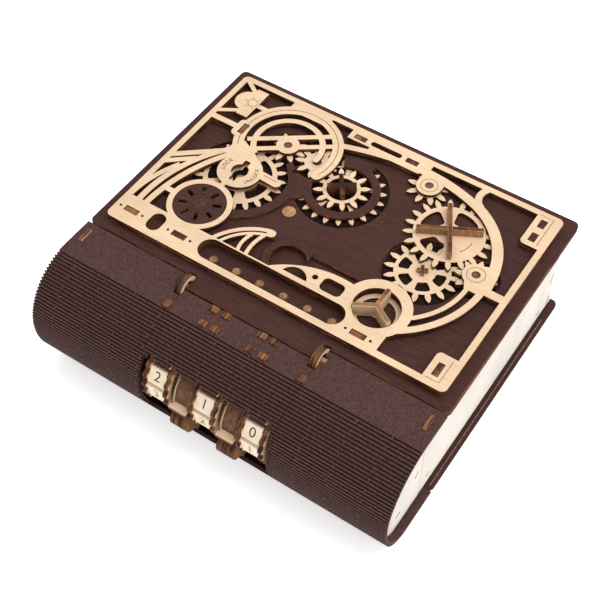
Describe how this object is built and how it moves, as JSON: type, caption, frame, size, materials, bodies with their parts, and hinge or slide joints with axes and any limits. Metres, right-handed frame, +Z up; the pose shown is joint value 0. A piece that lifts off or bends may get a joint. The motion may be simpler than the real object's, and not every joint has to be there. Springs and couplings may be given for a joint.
{
  "type": "book-shaped combination puzzle box",
  "caption": "Book-shaped plywood puzzle box with a hinged lid of meshing gears, a keyed bolt and three numbered code wheels in its round spine",
  "frame": {"origin": "middle of the footprint, on the surface the box stands on", "axes": "+X along the spine to the right, +Y from the spine to the fore-edge, +Z up through the lid"},
  "size_m": [0.26, 0.2364, 0.0917],
  "materials": {
    "back_cover": "laser-cut plywood, dark stain",
    "floor_board": "laser-cut plywood, dark stain",
    "spine_end_walls": "laser-cut plywood, cream, matt",
    "page_walls": "laser-cut plywood, cream, matt",
    "fore_edge_wall": "laser-cut plywood, cream, matt",
    "inner_spine_wall": "laser-cut plywood, pale satin",
    "spine_skin_left": "laser-cut plywood, dark stain",
    "spine_skin_centre": "laser-cut plywood, dark stain",
    "spine_skin_right": "laser-cut plywood, dark stain",
    "spine_formers": "laser-cut plywood, pale satin",
    "spine_tabs": "laser-cut plywood, pale satin",
    "tab_board": "laser-cut plywood, dark stain",
    "hinge_pins": "laser-cut plywood, pale satin",
    "wheel_axle": "laser-cut plywood, pale satin",
    "divider_blocks": "laser-cut plywood, pale satin",
    "divider_noses": "laser-cut plywood, pale satin",
    "pointer_strips": "laser-cut plywood, pale satin",
    "locking_comb": "laser-cut plywood, pale satin",
    "code_drum_left": "laser-cut plywood, pale satin",
    "code_rims_left": "laser-cut plywood, pale satin",
    "number_tiles_left": "laser-cut plywood, pale satin",
    "code_drum_middle": "laser-cut plywood, pale satin",
    "code_rims_middle": "laser-cut plywood, pale satin",
    "number_tiles_middle": "laser-cut plywood, pale satin",
    "code_drum_right": "laser-cut plywood, pale satin",
    "code_rims_right": "laser-cut plywood, pale satin",
    "number_tiles_right": "laser-cut plywood, pale satin",
    "lid_base_board": "laser-cut plywood, dark stain",
    "lid_top_board": "laser-cut plywood, dark stain",
    "frame_spacer": "laser-cut plywood, pale satin",
    "frame_plate": "laser-cut plywood, pale satin",
    "frame_tabs": "laser-cut plywood, pale satin",
    "guard_plate": "laser-cut plywood, dark stain",
    "lock_plate": "laser-cut plywood, dark stain",
    "hinge_eyes": "laser-cut plywood, pale satin",
    "eye_blocks": "laser-cut plywood, pale satin",
    "boss_pins": "laser-cut plywood, pale satin",
    "gear_studs": "laser-cut plywood, pale satin",
    "window_buttons": "laser-cut plywood, pale satin",
    "round_dowel": "laser-cut plywood, pale satin",
    "bolt_guides": "laser-cut plywood, pale satin",
    "rack_bolt": "laser-cut plywood, pale satin",
    "key_gear": "laser-cut plywood, pale satin",
    "key_shaft": "laser-cut plywood, pale satin",
    "drive_pinion": "laser-cut plywood, pale satin",
    "hub_pinion": "laser-cut plywood, pale satin",
    "idler_pinion": "laser-cut plywood, pale satin",
    "twin_large_gear": "laser-cut plywood, pale satin",
    "twin_small_gear": "laser-cut plywood, pale satin",
    "twin_knob": "laser-cut plywood, pale satin",
    "main_gear": "laser-cut plywood, pale satin",
    "main_grip": "laser-cut plywood, pale satin",
    "crest_pinion": "laser-cut plywood, pale satin",
    "link_pinion": "laser-cut plywood, pale satin",
    "lower_gear": "laser-cut plywood, pale satin",
    "lower_axle": "laser-cut plywood, pale satin",
    "spoke_wheel": "laser-cut plywood, pale satin",
    "spoke_floor": "laser-cut plywood, pale satin",
    "dial_disc": "laser-cut plywood, dark stain",
    "dial_axle": "laser-cut plywood, pale satin"
  },
  "bodies": {
    "case": {"back_cover": "back_cover", "floor_board": "floor_board", "spine_end_walls": "spine_end_walls", "page_walls": "page_walls", "fore_edge_wall": "fore_edge_wall", "inner_spine_wall": "inner_spine_wall", "spine_skin_left": "spine_skin_left", "spine_skin_centre": "spine_skin_centre", "spine_skin_right": "spine_skin_right", "spine_formers": "spine_formers", "spine_tabs": "spine_tabs", "tab_board": "tab_board", "hinge_pins": "hinge_pins", "wheel_axle": "wheel_axle", "divider_blocks": "divider_blocks", "divider_noses": "divider_noses", "pointer_strips": "pointer_strips"},
    "comb": {"locking_comb": "locking_comb"},
    "left_wheel": {"code_drum_left": "code_drum_left", "code_rims_left": "code_rims_left", "number_tiles_left": "number_tiles_left"},
    "middle_wheel": {"code_drum_middle": "code_drum_middle", "code_rims_middle": "code_rims_middle", "number_tiles_middle": "number_tiles_middle"},
    "right_wheel": {"code_drum_right": "code_drum_right", "code_rims_right": "code_rims_right", "number_tiles_right": "number_tiles_right"},
    "lid": {"lid_base_board": "lid_base_board", "lid_top_board": "lid_top_board", "frame_spacer": "frame_spacer", "frame_plate": "frame_plate", "frame_tabs": "frame_tabs", "guard_plate": "guard_plate", "lock_plate": "lock_plate", "hinge_eyes": "hinge_eyes", "eye_blocks": "eye_blocks", "boss_pins": "boss_pins", "gear_studs": "gear_studs", "window_buttons": "window_buttons", "round_dowel": "round_dowel", "bolt_guides": "bolt_guides"},
    "bolt": {"rack_bolt": "rack_bolt"},
    "key": {"key_gear": "key_gear", "key_shaft": "key_shaft", "drive_pinion": "drive_pinion"},
    "hub": {"hub_pinion": "hub_pinion"},
    "idler": {"idler_pinion": "idler_pinion"},
    "twin": {"twin_large_gear": "twin_large_gear", "twin_small_gear": "twin_small_gear", "twin_knob": "twin_knob"},
    "main": {"main_gear": "main_gear", "main_grip": "main_grip"},
    "crest": {"crest_pinion": "crest_pinion"},
    "link": {"link_pinion": "link_pinion"},
    "lower": {"lower_gear": "lower_gear", "lower_axle": "lower_axle"},
    "spoke": {"spoke_wheel": "spoke_wheel", "spoke_floor": "spoke_floor"},
    "dial": {"dial_disc": "dial_disc", "dial_axle": "dial_axle"}
  },
  "joints": [
    {"name": "lid_hinge", "type": "hinge", "parent": "case", "child": "lid", "pos_m": [0, -0.05875, 0.0811], "axis": [1, 0, 0], "range_deg": [0, 110]},
    {"name": "comb_slide", "type": "slide", "parent": "case", "child": "comb", "axis": [0, -1, 0], "range_m": [0, 0.0045]},
    {"name": "left_wheel_turn", "type": "hinge", "parent": "case", "child": "left_wheel", "pos_m": [-0.0323, -0.09125, 0.0471], "axis": [1, 0, 0], "continuous": true},
    {"name": "middle_wheel_turn", "type": "hinge", "parent": "case", "child": "middle_wheel", "pos_m": [0.0022, -0.09125, 0.0471], "axis": [1, 0, 0], "continuous": true},
    {"name": "right_wheel_turn", "type": "hinge", "parent": "case", "child": "right_wheel", "pos_m": [0.0367, -0.09125, 0.0471], "axis": [1, 0, 0], "continuous": true},
    {"name": "key_turn", "type": "hinge", "parent": "lid", "child": "key", "pos_m": [-0.073, 0.03295, 0.0811], "axis": [0, 0, 1], "range_deg": [0, 90]},
    {"name": "hub_turn", "type": "hinge", "parent": "lid", "child": "hub", "pos_m": [-0.06, 0.06965, 0.0835], "axis": [0, 0, 1], "range_deg": [-236.25, 0]},
    {"name": "idler_turn", "type": "hinge", "parent": "lid", "child": "idler", "pos_m": [-0.0365, 0.06925, 0.0835], "axis": [0, 0, 1], "range_deg": [0, 210]},
    {"name": "twin_turn", "type": "hinge", "parent": "lid", "child": "twin", "pos_m": [-0.0103, 0.05785, 0.0835], "axis": [0, 0, 1], "range_deg": [-157.5, 0]},
    {"name": "bolt_slide", "type": "slide", "parent": "lid", "child": "bolt", "axis": [0, 1, 0], "range_m": [0, 0.00628]},
    {"name": "main_turn", "type": "hinge", "parent": "lid", "child": "main", "pos_m": [0.066, 0.06295, 0.0835], "axis": [0, 0, 1], "continuous": true},
    {"name": "crest_turn", "type": "hinge", "parent": "lid", "child": "crest", "pos_m": [0.036, 0.08985, 0.0835], "axis": [0, 0, 1], "continuous": true},
    {"name": "link_turn", "type": "hinge", "parent": "lid", "child": "link", "pos_m": [0.0963, 0.04135, 0.0835], "axis": [0, 0, 1], "continuous": true},
    {"name": "lower_turn", "type": "hinge", "parent": "lid", "child": "lower", "pos_m": [0.0664, 0.02915, 0.0835], "axis": [0, 0, 1], "continuous": true},
    {"name": "spoke_turn", "type": "hinge", "parent": "lid", "child": "spoke", "pos_m": [0.0593, -0.01335, 0.0835], "axis": [0, 0, 1], "continuous": true},
    {"name": "dial_turn", "type": "hinge", "parent": "lid", "child": "dial", "pos_m": [-0.0775, -0.00475, 0.0835], "axis": [0, 0, 1], "continuous": true}
  ],
  "couplings": [
    {"joint": "key_turn", "follows": "bolt_slide", "rad_per_m": 250},
    {"joint": "hub_turn", "follows": "bolt_slide", "rad_per_m": -656.25},
    {"joint": "idler_turn", "follows": "bolt_slide", "rad_per_m": 583.33},
    {"joint": "twin_turn", "follows": "bolt_slide", "rad_per_m": -437.5},
    {"joint": "crest_turn", "follows": "main_turn", "ratio": -2.2222},
    {"joint": "link_turn", "follows": "main_turn", "ratio": -2.5},
    {"joint": "lower_turn", "follows": "main_turn", "ratio": 1.25}
  ]
}
